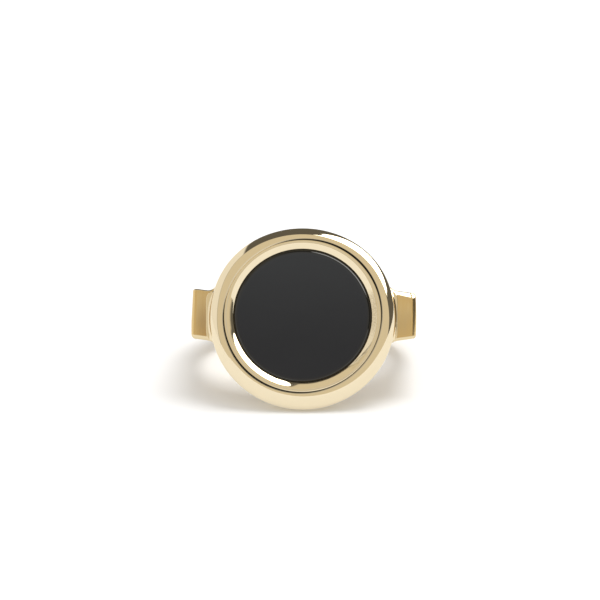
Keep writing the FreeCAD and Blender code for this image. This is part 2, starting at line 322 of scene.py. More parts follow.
class Graph:
    """Short calls that add nodes to one node tree."""

    def __init__(self, tree):
        self.tree = tree
        tree.nodes.clear()

    def add(self, kind, **settings):
        node = self.tree.nodes.new(kind)
        for name, value in settings.items():
            setattr(node, name, value)
        return node

    def feed(self, socket, value):
        """Links a socket's value in, or sets a plain number or colour."""
        if isinstance(value, bpy.types.NodeSocket):
            self.tree.links.new(value, socket)
        else:
            socket.default_value = value

    def math(self, operation, *values):
        node = self.add("ShaderNodeMath", operation=operation)
        for socket, value in zip(node.inputs, values):
            self.feed(socket, value)
        return node.outputs[0]

    def dot(self, vector, axis):
        node = self.add("ShaderNodeVectorMath", operation="DOT_PRODUCT")
        self.feed(node.inputs[0], vector)
        node.inputs[1].default_value = axis
        return node.outputs["Value"]

    def ramp(self, value, start, end, low=0.0, high=1.0):
        """Smooth change from low to high as the value goes from start to end."""
        node = self.add("ShaderNodeMapRange", interpolation_type="SMOOTHSTEP")
        for socket, number in zip(node.inputs, (value, start, end, low, high)):
            self.feed(socket, number)
        return node.outputs["Result"]

    def within(self, value, low, high, soft):
        """1 between low and high, 0 outside, with soft edges."""
        rise = self.ramp(self.math("SUBTRACT", value, low), -soft, soft)
        fall = self.ramp(self.math("SUBTRACT", value, high), -soft, soft)
        return self.math("MULTIPLY", rise, self.math("SUBTRACT", 1.0, fall))

    def blend(self, share, first, second):
        node = self.add("ShaderNodeMix", data_type="RGBA")
        factor, colour_a, colour_b = node.inputs[0], node.inputs[6], node.inputs[7]
        self.feed(factor, share)
        self.feed(colour_a, first)
        self.feed(colour_b, second)
        return node.outputs[2]

    def spots(self, scale, detail=3.0, density=(1.0, 1.0, 1.0)):
        """Noise in features per millimetre, times its density along each of the ring's axes."""
        place = self.add("ShaderNodeTexCoord").outputs["Object"]
        along = self.add("ShaderNodeCombineXYZ")
        for socket, axis, share in zip(along.inputs, (side_axis, finger_axis, face_axis), density):
            self.feed(socket, self.dot(place, axis * (share / MM)))
        node = self.add("ShaderNodeTexNoise")
        self.feed(node.inputs["Vector"], along.outputs["Vector"])
        node.inputs["Scale"].default_value = scale
        node.inputs["Detail"].default_value = detail
        return node.outputs["Fac"]

    def mask(self, name):
        return self.add("ShaderNodeAttribute", attribute_name=name).outputs["Fac"]

    def relief(self, height, depth_mm):
        node = self.add("ShaderNodeBump")
        node.inputs["Strength"].default_value = 1.0
        node.inputs["Distance"].default_value = depth_mm * MM
        self.feed(node.inputs["Height"], height)
        return node.outputs["Normal"]


def surface(name):
    """A material with an empty graph, its shader and its graph helper."""
    material = bpy.data.materials.new(name)
    material.use_nodes = True
    graph = Graph(material.node_tree)
    shader = graph.add("ShaderNodeBsdfPrincipled")
    output = graph.add("ShaderNodeOutputMaterial")
    graph.feed(output.inputs["Surface"], shader.outputs["BSDF"])
    return material, graph, shader


# ---- Materials ----

MIRROR_FILL = 0.65          # share of painted glow that the floor shows only in the gold's reflections
MIRROR_GLOW = (1.13, 1.13, 1.13)    # brightness of that painted glow
# dark brown painted along the seam between collar and bezel, standing for its shade
SEAM_PAINTED_SHADE = (0.060, 0.052, 0.035, 1.0)
WORN_GOLD = (0.42, 0.33, 0.19, 1.0)     # tone of the burnishing marks


def polished_gold(name, base, seam=False, marks=False):
    """Mirror-polished gold: faint cloudiness and buffing hairlines.

    A piece at the seam has its dark line painted in as shade, and the bezel has its burnishing marks.
    """
    material, graph, shader = surface(name)
    shader.inputs["Metallic"].default_value = 1.0
    clouds = graph.spots(0.9)
    deeper = [channel * 0.965 for channel in base]
    colour = graph.blend(clouds, (*deeper, 1.0), (*base, 1.0))
    roughness = graph.ramp(graph.spots(0.5, 4.0), 0.35, 0.75, 0.035, 0.085)
    height = graph.math("MULTIPLY", graph.spots(2.0, 2.0, (1.0, 9.0, 9.0)), 0.25)
    if seam:
        # the seam's dark line is painted shade
        seam_shaded = graph.mask("seam")
        colour = graph.blend(seam_shaded, colour, SEAM_PAINTED_SHADE)
        roughness = graph.math("MULTIPLY_ADD", seam_shaded, 0.35, roughness)
    if marks:
        marked = graph.mask("marks")
        speckle = graph.spots(9.0, 3.0)
        height = graph.math("MULTIPLY_ADD", speckle, graph.math("MULTIPLY", marked, 2.0), height)
        worn = graph.math("MULTIPLY", marked, graph.ramp(speckle, 0.35, 0.65, 0.30, 0.65))
        colour = graph.blend(worn, colour, WORN_GOLD)
    graph.feed(shader.inputs["Base Color"], colour)
    graph.feed(shader.inputs["Roughness"], roughness)
    graph.feed(shader.inputs["Normal"], graph.relief(height, 0.0012))
    return material


def satin_gold():
    """Warmer gold with fine marks along the finger on its flats, polished on its rounded edges, with
    painted shade on the left shoulder's face near the head.
    """
    material, graph, shader = surface("satin_gold")
    shader.inputs["Metallic"].default_value = 1.0
    flats = graph.mask("flats")
    lines = graph.spots(5.0, 3.0, (1.0, 0.04, 1.0))
    tone = graph.math("MULTIPLY", flats, graph.ramp(lines, 0.25, 0.75, 0.86, 1.0))
    polished = (0.71, 0.585, 0.365, 1.0)
    brushed = (0.68, 0.492, 0.225, 1.0)
    shaded_flat = (0.54, 0.368, 0.163, 1.0)
    # browner tone of painted shade on the left shoulder's face near the head
    flat_tone = graph.blend(graph.mask("head_shade"), brushed, shaded_flat)
    graph.feed(shader.inputs["Base Color"], graph.blend(tone, polished, flat_tone))
    grain = graph.ramp(lines, 0.3, 0.7, 0.10, 0.17)
    graph.feed(shader.inputs["Roughness"], graph.math("MULTIPLY_ADD", grain, flats, 0.05))
    height = graph.math("MULTIPLY", lines, graph.math("MULTIPLY_ADD", flats, 0.8, 0.05))
    graph.feed(shader.inputs["Normal"], graph.relief(height, 0.0008))
    return material


def onyx():
    """Polished black stone with barely visible cloudy bands."""
    material, graph, shader = surface("onyx")
    bands = graph.spots(0.22, 4.0, (1.0, 2.5, 2.5))
    graph.feed(shader.inputs["Base Color"],
               graph.blend(bands, (0.002, 0.002, 0.002, 1.0), (0.005, 0.005, 0.005, 1.0)))
    graph.feed(shader.inputs["Roughness"], graph.ramp(graph.spots(0.8, 4.0), 0.3, 0.8, 0.02, 0.06))
    graph.feed(shader.inputs["Normal"], graph.relief(graph.spots(6.0, 2.0), 0.0001))
    shader.inputs["IOR"].default_value = 1.54
    return material


def cement():
    """Cured setting cement: grey-brown, matt, with small pits."""
    material, graph, shader = surface("cement")
    grains = graph.spots(3.0, 5.0)
    graph.feed(shader.inputs["Base Color"],
               graph.blend(grains, (0.20, 0.17, 0.13, 1.0), (0.38, 0.34, 0.27, 1.0)))
    graph.feed(shader.inputs["Roughness"], graph.ramp(grains, 0.2, 0.8, 0.55, 0.8))
    graph.feed(shader.inputs["Normal"], graph.relief(grains, 0.03))
    return material


def pale_floor():
    """Plain paper. In the gold's reflections it glows evenly with painted light, which fills in its
    shadows there.
    """
    material, graph, shader = surface("pale_floor")
    mirrored = graph.add("ShaderNodeLightPath").outputs["Is Glossy Ray"]
    tone = graph.ramp(graph.spots(0.02, 3.0), 0.3, 0.7, 0.885, 0.895)
    tone = graph.math("MULTIPLY", tone, graph.math("MULTIPLY_ADD", mirrored, -MIRROR_FILL, 1.0))
    colour = graph.add("ShaderNodeCombineColor")
    for socket in colour.inputs[:3]:
        graph.feed(socket, tone)
    graph.feed(shader.inputs["Base Color"], colour.outputs[0])
    shader.inputs["Roughness"].default_value = 0.9
    shader.inputs["Specular IOR Level"].default_value = 0.1
    # painted glow, seen only in the gold's reflections
    shader.inputs["Emission Color"].default_value = (*MIRROR_GLOW, 1.0)
    graph.feed(shader.inputs["Emission Strength"], graph.math("MULTIPLY", mirrored, MIRROR_FILL))
    return material


GOLD = (0.80, 0.69, 0.485)

collar_gold = polished_gold("collar_gold", GOLD, seam=True)
bezel_gold = polished_gold("bezel_gold", GOLD, seam=True, marks=True)
plate_gold = polished_gold("plate_gold", GOLD)
solder_gold = polished_gold("solder_gold", (0.79, 0.67, 0.455))
shank_gold = satin_gold()
stone_black = onyx()
cement_grey = cement()


# ---- Head ----

def seam_opening(angle):
    """1 where the seam between collar and bezel opens widest, -1 where it closes."""
    return math.cos(2.0 * (angle - hour_angle(SEAM_OPEN_HOUR)))


def seam_edge(angle, side):
    """Radius of the seam's outer (side 1) or inner (side -1) wall."""
    middle = SEAM_R + SEAM_WOBBLE * seam_opening(angle)
    gap = SEAM_GAP + SEAM_GAP_SWING * seam_opening(angle)
    return middle + side * 0.5 * gap


def seam_shift(angle, z, side):
    """How far the seam's wall stands from its mean radius; below the seam's depth both walls touch."""
    bottom = HEAD_TOP - SEAM_DEPTH
    return (seam_edge(angle, side) - SEAM_R) * smooth_step(z, bottom, bottom + 0.5 * SEAM_DEPTH)


def seam_shade(angle):
    """1 where the seam shows as a dark line of painted shade, 0 where it is burnished shut."""
    away = abs(math.remainder(angle - hour_angle(SEAM_CLOSED_HOUR), TAU))
    return smooth_step(away, *SEAM_FADE) * (0.8 + 0.2 * seam_opening(angle))


def seam_line(angle, away, z):
    """Strength of the seam's dark line of painted shade this far from its mean radius, on a rounded
    edge.
    """
    if z < HEAD_TOP - SEAM_DEPTH - 0.01:
        return 0.0
    clear, end = (EDGE_ROUND * share for share in SEAM_LINE_REACH)
    return seam_shade(angle) * (1.0 - smooth_step(away, clear, end))


def leaning_run(level, leans, count):
    """Points of a smooth run, highest at the given level, whose lean changes evenly along it.

    Each entry of leans is (r, degrees of lean from the flat).
    """
    spots = [Vector((leans[0][0], 0.0))]
    for (r_from, lean_from), (r_to, lean_to) in zip(leans, leans[1:]):
        sine_from = math.sin(math.radians(lean_from))
        sine_to = math.sin(math.radians(lean_to))
        for index in range(1, count + 1):
            middle = sine_from + (sine_to - sine_from) * (index - 0.5) / count
            run = (r_to - r_from) / count
            drop = abs(run) * middle / math.sqrt(1.0 - middle * middle)
            spots.append(spots[-1] + Vector((run, -drop)))
    lift = level - max(spot.y for spot in spots)
    return [spot + Vector((0.0, lift)) for spot in spots]


def collar_roll():
    """The collar's outside from the seam over its crest to its widest line."""
    turn_sine = math.sin(math.radians(ROLL_TURN_LEAN))
    turn_centre_r = HEAD_R - ROLL_TURN_R
    roll_centre = Vector((turn_centre_r - (ROLL_R - ROLL_TURN_R) * turn_sine, HEAD_TOP - ROLL_R))
    first = math.asin((SEAM_R + EDGE_ROUND - roll_centre.x) / ROLL_R)
    last = math.radians(ROLL_TURN_LEAN)
    leans = [first + (last - first) * index / 56 for index in range(57)]
    roll = [roll_centre + ROLL_R * Vector((math.sin(lean), math.cos(lean))) for lean in leans]
    turn_centre = roll[-1] - ROLL_TURN_R * Vector((math.sin(last), math.cos(last)))
    leans = [last + (0.5 * math.pi - last) * index / 16 for index in range(1, 17)]
    turn = [turn_centre + ROLL_TURN_R * Vector((math.sin(lean), math.cos(lean))) for lean in leans]
    return roll + turn


def collar_outline():
    """Round roll, belly and rounded lower edge outside; straight wall inside."""
    roll = collar_roll()
    edge_z = HEAD_BOTTOM + LOWER_EDGE_RISE
    middle_z = 0.5 * (roll[-1].y + edge_z)
    lower = Vector((HEAD_R - WALL_IN, edge_z))
    wall = arc_through(roll[-1], (HEAD_R - WALL_BELLY, middle_z), lower, 0.06)
    under = Vector((UNDERSIDE_R, HEAD_BOTTOM))
    turn = arc_through(lower, (HEAD_R - WALL_IN - LOWER_EDGE_IN, HEAD_BOTTOM + LOWER_EDGE_UP),
                       under, 0.04)
    inner = [Vector((SEAM_R, HEAD_BOTTOM)), Vector((SEAM_R, HEAD_TOP - SEAM_DEPTH))]
    shoulder = round_corner(inner[1], (SEAM_R, roll[0].y), roll[0], EDGE_ROUND)
    return roll + wall[1:] + turn[1:] + inner + shoulder[:-1]


def collar_seam(angle, r, z):
    """Painted shade: the dark line on the collar's rounded inner edge."""
    return seam_line(angle, r - SEAM_R, z)


def fullness(angle):
    """Extra radius of the collar's rim: more at its upper left and right, less at its top."""
    from_top = abs(math.degrees(math.remainder(angle, TAU)))
    away = min(1.0, abs(from_top - FULLEST_DEG) / FULLNESS_SPAN_DEG)
    near_top = min(1.0, from_top / TOP_EASE_DEG)
    return (COLLAR_FULLNESS * math.cos(0.5 * math.pi * away) ** 2
            - TOP_EASE * math.cos(0.5 * math.pi * near_top) ** 2)


def collar_point(angle, r, z):
    """The collar follows the bezel's oval and the seam at its inner edge, and is fuller outside."""
    outward = smooth_step(r, SEAM_R, HEAD_R)
    r += fullness(angle) * outward
    oval = SETTING_OVAL + (HEAD_OVAL - SETTING_OVAL) * outward
    seam = seam_shift(angle, z, 1) * (1.0 - smooth_step(r, SEAM_R, SEAM_R + 0.5))
    return clock_point(angle, r + seam, z, oval, HEAD_SHIFT * outward)


def bezel_outline():
    """Tube with a softly crowned crest and a slope that rolls down to the lip's tip."""
    top = leaning_run(LIP_TOP, LIP_TURNS, 14)
    girdle_z = STONE_TOP - GIRDLE_DROP
    wall_r = STONE_R + STONE_PLAY
    under = [Vector((top[-1].x + STONE_PLAY, top[-1].y - LIP_THICKNESS)),
             Vector((STONE_R, girdle_z - LIP_THICKNESS)),
             Vector((wall_r, girdle_z - GIRDLE_CLEARANCE)), Vector((wall_r, PLATE_TOP)),
             Vector((SEAM_R, PLATE_TOP)), Vector((SEAM_R, HEAD_TOP - SEAM_DEPTH))]
    shoulder = round_corner(under[-1], (SEAM_R, top[0].y), top[0], 0.9 * EDGE_ROUND)
    return top + under + shoulder[:-1]


def burnished(angle, r):
    """Share of the burnishing marks at a place on the bezel's inner slope."""
    first, last = hour_angle(MARK_FIRST_HOUR), hour_angle(MARK_LAST_HOUR)
    along = smooth_step(angle, first, first + MARK_ENDS[0])
    along *= 1.0 - smooth_step(angle, last - MARK_ENDS[1], last)
    across = smooth_step(r, LIP_TIP_R, LIP_TIP_R + MARK_INNER)
    across *= 1.0 - smooth_step(r, LIP_CREST_R - MARK_OUTER[0], LIP_CREST_R - MARK_OUTER[1])
    return along * across


def lip_ease(angle, r):
    """How much higher the lip's slope stands where it is pressed down less."""
    ease = 0.0
    for height, hours in LIP_EASES:
        rise, full, fall, end = (hour_angle(hour) for hour in hours)
        ease += height * smooth_step(angle, rise, full) * (1.0 - smooth_step(angle, fall, end))
    return ease * min(1.0, max(0.0, (LIP_CREST_R - r) / (LIP_CREST_R - LIP_TIP_R)))


def bezel_point(angle, r, z):
    """The bezel's outside follows the seam, and tool marks dent its inner slope."""
    seam = seam_shift(angle, z, -1) * smooth_step(r, LIP_CREST_R, SEAM_R)
    share = burnished(angle, r)
    dent = noise.noise(Vector((angle * r * DENTS[0], r * DENTS[1], 0.0))) if share > 0.0 else 0.0
    lift = lip_ease(angle, r) if z > LIP_UNDERSIDE_Z else 0.0
    return setting_point(angle, r + seam, z + MARK_HEIGHT * share * dent + lift)


def stone_outline():
    """Domed face, bevel, straight girdle and flat underside."""
    rim_z = STONE_TOP - STONE_DOME
    face = []
    for share in (index / 24 for index in range(25)):
        face.append(Vector((STONE_FLAT_R * share, STONE_TOP - STONE_DOME * share * share)))
    girdle_r = STONE_R - STONE_GAP
    girdle_z = rim_z - (girdle_r - STONE_FLAT_R) * BEVEL_SLOPE
    rim = round_corner(face[-2], face[-1], (girdle_r, girdle_z), STONE_EDGE_R, 4)
    girdle = round_corner(rim[-1], (girdle_r, girdle_z), (girdle_r, STONE_BOTTOM), STONE_EDGE_R, 4)
    foot = round_corner(girdle[-1], (girdle_r, STONE_BOTTOM), (0.0, STONE_BOTTOM), STONE_FOOT_R, 4)
    return face[:-1] + rim + girdle + foot + [Vector((0.0, STONE_BOTTOM))]


def plate_outline():
    """Flat disc with a broken edge, a hair inside the collar."""
    r = PLATE_R - 0.01
    upper = round_corner((0.0, PLATE_TOP), (r, PLATE_TOP), (r, HEAD_BOTTOM), 0.04, 4)
    lower = round_corner((r, PLATE_TOP), (r, HEAD_BOTTOM), (0.0, HEAD_BOTTOM), 0.05, 5)
    return [Vector((0.0, PLATE_TOP))] + upper + lower + [Vector((0.0, HEAD_BOTTOM))]


def seat_outline():
    outer_r = STONE_R + 0.01
    corners = [(SEAT_INNER_R, PLATE_TOP), (outer_r, PLATE_TOP),
               (outer_r, STONE_BOTTOM), (SEAT_INNER_R, STONE_BOTTOM)]
    return spread(rounded(corners, [0.02, 0.02, 0.05, 0.08]), 0.15)


def cement_outline():
    """Bed of cement, slightly hollow where it shrank under the stone."""
    top = []
    for share in (index / 12 for index in range(13)):
        sink = 0.05 * (1.0 - share * share)
        top.append(Vector((SEAT_INNER_R * share, STONE_BOTTOM - 0.01 - sink)))
    return top + [Vector((SEAT_INNER_R, PLATE_TOP)), Vector((0.0, PLATE_TOP))]


def cement_point(angle, r, z):
    grain = noise.noise(Vector((r * math.sin(angle) * 2.0, r * math.cos(angle) * 2.0, z)))
    lift = 0.03 * grain if z > PLATE_TOP + 0.1 and r < SEAT_INNER_R - 0.1 else 0.0
    return setting_point(angle, r, z + min(0.0, lift))


def bezel_marks(angle, r, z):
    """Strength of the burnishing marks' tone."""
    fading, faint = (hour_angle(hour) for hour in MARK_FADE_HOURS)
    share = burnished(angle, r) * (1.0 - MARK_FADE * smooth_step(angle, fading, faint))
    return share if z > LIP_UNDERSIDE_Z else 0.0


def bezel_seam(angle, r, z):
    """Painted shade: the dark line on the bezel's rounded outer edge."""
    return seam_line(angle, SEAM_R - r, z)


finish_piece("head_frame",
             ring_lathe("head_frame", collar_outline(), collar_point, {"seam": collar_seam}),
             collar_gold)
finish_piece("bezel",
             ring_lathe("bezel", bezel_outline(), bezel_point,
                        {"marks": bezel_marks, "seam": bezel_seam}),
             bezel_gold)
finish_piece("onyx_stone", disc_lathe("onyx_stone", stone_outline(), setting_point),
             stone_black)
finish_piece("back_plate", disc_lathe("back_plate", plate_outline(), setting_point),
             plate_gold)
finish_piece("stone_seat", ring_lathe("stone_seat", seat_outline(), setting_point),
             plate_gold)
finish_piece("setting_cement", disc_lathe("setting_cement", cement_outline(), cement_point),
             cement_grey)


# ---- Shank ----

LEFT_CORNER = ((0.0, 0.40), (90.0, 0.40))   # outer corners, seen along the finger: lean and radius
RIGHT_CORNER = ((0.0, 0.25), (29.0, 1.23), (45.0, 0.25), (90.0, 0.25))
BACK_HALF_WIDTH = 1.45      # half width of the band behind the finger
TIP_HALF_WIDTH = 2.06       # half width at the outer end of a shoulder
SHOULDER_TAPER = 0.14       # growth of the half width towards the head
TAPER_START_Z = 5.50
SQUARE_GROWTH = 0.40        # extra width at the tip of the left shoulder's upper side
SQUARE_REACH = 2.20         # length over which it fades out towards the head
FLARE_X = 8.60              # the shoulders flare into the head from here inwards
FLARE_GROWTH = 1.00
FLARE_START_Z = 7.20
FLARE_HALF_WIDTH = 4.00
RIM_R = 0.30                # rounding of the outer edges
BEVEL_RIM_R = 0.10          # rounding below the bevel filed on the right upper edge
BEVEL_TOP_R = 0.20          # and above it
BEVEL_LEANS = (26.0, 40.0)  # lean of that bevel's two edges, in degrees; it is slightly crowned
BEVEL_WIDTH = 0.38
BEVEL_GROWTH = 0.10         # growth of its width from the head outwards
BEVEL_START_X = 8.70        # it is at its full strength beside the head from here on
BEVEL_FADE = 0.50           # and fades in over this distance before
BORE_RIM_R = 0.22           # rounding of the bore's edges
SEAT_TOP_R = HEAD_R - 1.03  # the shoulders' front faces run under the collar to here
SEAT_FOOT_R = HEAD_R - 1.88
SEAT_Z = HEAD_BOTTOM + 0.05
LEFT_UPPER_RIM_R = 0.14     # the left shoulder's upper edge is sharper than the others
LEFT_LOWER_RIM_R = 0.43     # and its lower edge softer
LEFT_RIM_X = (4.0, 7.0)     # the rounding changes between these distances left of the bore
TIP_ROUND = 0.30            # rounding of the shoulders' tips, seen from the front
TIP_ROUND_DEPTHS = (1.5, 0.3)   # it fades in between these depths below the front face
HEAD_SHADE_X = 9.1               # painted shade browns the left shoulder most this far out
HEAD_SHADE_CLEAR = 0.30          # and not at all this close to its end
HEAD_SHADE_ACROSS = (-0.5, 2.2)  # the painted shade fades between these places, from the lower side upwards,
HEAD_SHADE_LEAST = 0.35          # to this share
FACE_CROWN = 0.05           # fall of the shoulders' front faces from their middle to their edges
LEFT_SLANT = 0.15           # the left shoulder's end stands back by this much at its upper side


def half_width(x, z):
    """Half of the shank's width along the finger, at a point of its front view."""
    rise = (z + BACK_R) / (SHOULDER_Z + BACK_R)
    straight = BACK_HALF_WIDTH + (TIP_HALF_WIDTH - BACK_HALF_WIDTH) * rise
    inward = max(0.0, SIDE_R - abs(x - BAND_SHIFT))
    taper = SHOULDER_TAPER * inward * smooth_step(z, TAPER_START_Z, SHOULDER_Z)
    past_flare = max(0.0, FLARE_X - abs(x))
    flare = FLARE_GROWTH * past_flare ** 2 * smooth_step(z, FLARE_START_Z, SHOULDER_Z)
    room = FLARE_HALF_WIDTH - straight
    widened = taper + flare
    return straight + room * math.tanh(widened / room)


def straight_run(start, end, count, normal):
    """Outline points with their outward normal, the last one left out."""
    return [(Vector(start).lerp(Vector(end), index / count), Vector(normal)) for index in range(count)]


def arc_run(centre, radius, start, end, count):
    run = []
    for index in range(count):
        turn = math.radians(start + (end - start) * index / count)
        normal = Vector((math.cos(turn), math.sin(turn)))
        run.append((Vector(centre) + radius * normal, normal))
    return run


def corner_run(end_x, turns):
    """Rounded outer corner from the side round to the front face, in arcs of the given radii.

    Each entry of turns is (lean of the surface from the front face, radius from there on).
    """
    spot = Vector((end_x, SHOULDER_Z))
    arcs = [(math.radians(start), math.radians(end), radius)
            for (start, radius), (end, _) in zip(turns, turns[1:])]
    spot.x -= sum(radius * (math.sin(end) - math.sin(start)) for start, end, radius in arcs)
    run = []
    for start, end, radius in arcs:
        centre = spot - radius * Vector((math.sin(start), math.cos(start)))
        for index in range(6):
            lean = start + (end - start) * index / 6
            normal = Vector((math.sin(lean), math.cos(lean)))
            run.append((centre + radius * normal, normal))
        spot = centre + radius * Vector((math.sin(end), math.cos(end)))
    run.append((spot, Vector((1.0, 0.0))))
    return run[::-1]


def shoulder_run(side, turns):
    """Outline of one half seen along the finger, from the middle of the back to the seat's middle.

    It is written for the right side; side -1 mirrors it to the left.
    """
    side_x = SIDE_R + side * BAND_SHIFT
    round_z = SIDE_R - BACK_R
    corner = corner_run(side_x, turns)
    slant = Vector((SHOULDER_Z - SEAT_Z, SEAT_FOOT_R - SEAT_TOP_R)).normalized()
    run = arc_run((side * BAND_SHIFT, round_z), SIDE_R, -90.0, 0.0, 60)
    run += straight_run((side_x, round_z), corner[0][0], 36, (1.0, 0.0))
    run += corner[:-1]
    run += straight_run(corner[-1][0], (SEAT_TOP_R, SHOULDER_Z), 24, (0.0, 1.0))
    run += straight_run((SEAT_TOP_R, SHOULDER_Z), (SEAT_FOOT_R, SEAT_Z), 2, slant)
    run += straight_run((SEAT_FOOT_R, SEAT_Z), (0.0, SEAT_Z), 24, (0.0, 1.0))
    return [(Vector((side * spot.x, spot.y)), Vector((side * normal.x, normal.y)))
            for spot, normal in run]


def shank_stations():
    """Whole outline seen along the finger, with its outward normals."""
    right = shoulder_run(1, RIGHT_CORNER)
    left = shoulder_run(-1, LEFT_CORNER)
    top = [(Vector((0.0, SEAT_Z)), Vector((0.0, 1.0)))]
    return right + top + left[:0:-1]


def side_reach(x, z, upper):
    """How far the shank reaches to one side: the left shoulder's upper side is squared up."""
    reach = half_width(x, z)
    if upper:
        share = smooth_step(BAND_SHIFT - x, SIDE_R - SQUARE_REACH, SIDE_R)
        reach += SQUARE_GROWTH * share * smooth_step(z, TAPER_START_Z, SHOULDER_Z)
    short = max(0.0, TIP_ROUND - (SIDE_R - abs(x - BAND_SHIFT)))
    cut = TIP_ROUND - math.sqrt(TIP_ROUND ** 2 - min(short, TIP_ROUND) ** 2)
    deep, full = (SHOULDER_Z - depth for depth in TIP_ROUND_DEPTHS)
    return reach - cut * smooth_step(z, deep, full)


def rim_radius(spot, upper):
    """Rounding of an outer edge, which differs on the left shoulder."""
    on_left = smooth_step(-spot.x, *LEFT_RIM_X) * smooth_step(spot.y, TAPER_START_Z, SHOULDER_Z)
    left_rim = LEFT_UPPER_RIM_R if upper else LEFT_LOWER_RIM_R
    return RIM_R + (left_rim - RIM_R) * on_left


def bevel_share(spot, normal, upper):
    """1 where the right shoulder's upper edge is filed to a bevel, 0 elsewhere."""
    if not upper:
        return 0.0
    along = smooth_step(spot.x, BEVEL_START_X - BEVEL_FADE, BEVEL_START_X)
    return along * smooth_step(normal.y, 0.3, 1.0)


def rim_curve(spot, normal, upper):
    """Distances across and down from a face's edge, along its rounding to the side face."""
    share = bevel_share(spot, normal, upper)
    tight = rim_radius(spot, upper) * (1.0 - share) + BEVEL_RIM_R * share
    top = rim_radius(spot, upper) * (1.0 - share) + BEVEL_TOP_R * share
    low, high = (math.radians(lean) for lean in BEVEL_LEANS)
    width = BEVEL_WIDTH + BEVEL_GROWTH * (spot.x - BEVEL_START_X)
    broad = tight + (width - tight) * share / (math.sin(high) - math.sin(low))
    across, drop = 0.0, 0.0
    curve = []
    for start, end, radius, count in ((0.0, low, tight, 3), (low, high, broad, 4),
                                      (high, 0.5 * math.pi, top, 6)):
        for index in range(count):
            here = start + (end - start) * index / count
            there = start + (end - start) * (index + 1) / count
            across += radius * (math.sin(there) - math.sin(here))
            drop += radius * (math.cos(here) - math.cos(there))
            curve.append((across, drop))
    return curve


def crowned(spot, normal, across, reach):
    """A point of an outer face, let down towards the edges by the crown."""
    share = across / reach
    return spot - normal * (FACE_CROWN * share * share * smooth_step(spot.y, 0.0, TAPER_START_Z))


def half_loop(spot, normal, upper):
    """Half of a section of the shank: outer face, rounded edge, side and bore, with polish masks."""
    inward = spot.normalized()
    curve = rim_curve(spot, normal, upper)
    breadth, depth = curve[-1]
    fall = FACE_CROWN * smooth_step(spot.y, 0.0, TAPER_START_Z)
    rim = spot - normal * (depth + fall)
    flat = side_reach(*rim, upper) - breadth
    loop = []
    for index in range(13):
        across = flat * index / 12
        loop.append((crowned(spot, normal, across, flat), across, 1.0))
    for across, drop in curve:
        loop.append((spot - normal * (fall + drop), flat + across, 0.0))
    bore_side = inward * (BORE_R + BORE_RIM_R)
    for index in range(1, 7):
        place = rim.lerp(bore_side, index / 6)
        loop.append((place, side_reach(*place, upper), 1.0 if index < 6 else 0.0))
    last = side_reach(*bore_side, upper) - BORE_RIM_R
    for index in range(1, 7):
        turn = 0.5 * math.pi * index / 6
        place = inward * (BORE_R + BORE_RIM_R * (1.0 - math.sin(turn)))
        loop.append((place, last + BORE_RIM_R * math.cos(turn), 0.0))
    for index in range(1, 9):
        loop.append((inward * BORE_R, last * (1.0 - index / 8), 0.0))
    return loop


def station_loop(spot, normal):
    """Closed section of the shank at one station."""
    lower = [(place, -across, mask) for place, across, mask in half_loop(spot, normal, False)]
    return half_loop(spot, normal, True) + lower[-2:0:-1]


def painted_head_shade(x, across, z):
    """Painted shade: a browner tone on the left shoulder's face, strongest near the bead and towards its
    lower side.
    """
    near = smooth_step(x, HEAD_SHADE_CLEAR - SIDE_R, -HEAD_SHADE_X) * smooth_step(-x, HEAD_R - 1.0, HEAD_R)
    low = 1.0 - smooth_step(across, *HEAD_SHADE_ACROSS)
    on_face = smooth_step(z, SHOULDER_Z - 0.5, SHOULDER_Z - 0.2)
    return near * on_face * (HEAD_SHADE_LEAST + (1.0 - HEAD_SHADE_LEAST) * low)


def end_slant(x, across, z):
    """How far a point of the left shoulder's end stands back."""
    near = smooth_step(-x, BORE_R + BORE_RIM_R, SIDE_R) * smooth_step(z, TAPER_START_Z, SHOULDER_Z - 1.0)
    return LEFT_SLANT * near * smooth_step(across, -TIP_HALF_WIDTH, TIP_HALF_WIDTH)


def shank_mesh():
    verts = []
    masks = []
    head_shade_values = []
    loops = [station_loop(spot, normal) for spot, normal in shank_stations()]
    for loop in loops:
        verts.extend(Vector((place.x + end_slant(place.x, across, place.y), across, place.y))
                     for place, across, _ in loop)
        masks.extend(mask for _, _, mask in loop)
        # share of painted shade near the head, per point
        head_shade_values.extend(painted_head_shade(place.x, across, place.y) for place, across, _ in loop)
    faces = band_faces(len(loops), len(loops[0]))
    return make_mesh("shank", verts, faces, {"flats": masks, "head_shade": head_shade_values})


finish_piece("shank", shank_mesh(), shank_gold)


# ---- Solder ----

SOLDER_REACH = 0.32         # the bead runs this far out along the shoulder's face
SOLDER_REACH_SWING = 0.06   # further on the left, less on the right
SOLDER_HEIGHT = 0.30        # and this far up the collar's wall
SOLDER_STEEPEST = 60.0      # lean of the bead's surface, in degrees, where it meets the wall
SOLDER_HALF_LENGTH = 2.30
SOLDER_ROOT_R = HEAD_R - 0.30
SOLDER_START_R = HEAD_R - 0.02
SOLDER_SINK = 0.05          # its foot lies this far below the shoulder's face
SOLDER_WAVE = 0.05          # share by which its size varies along it


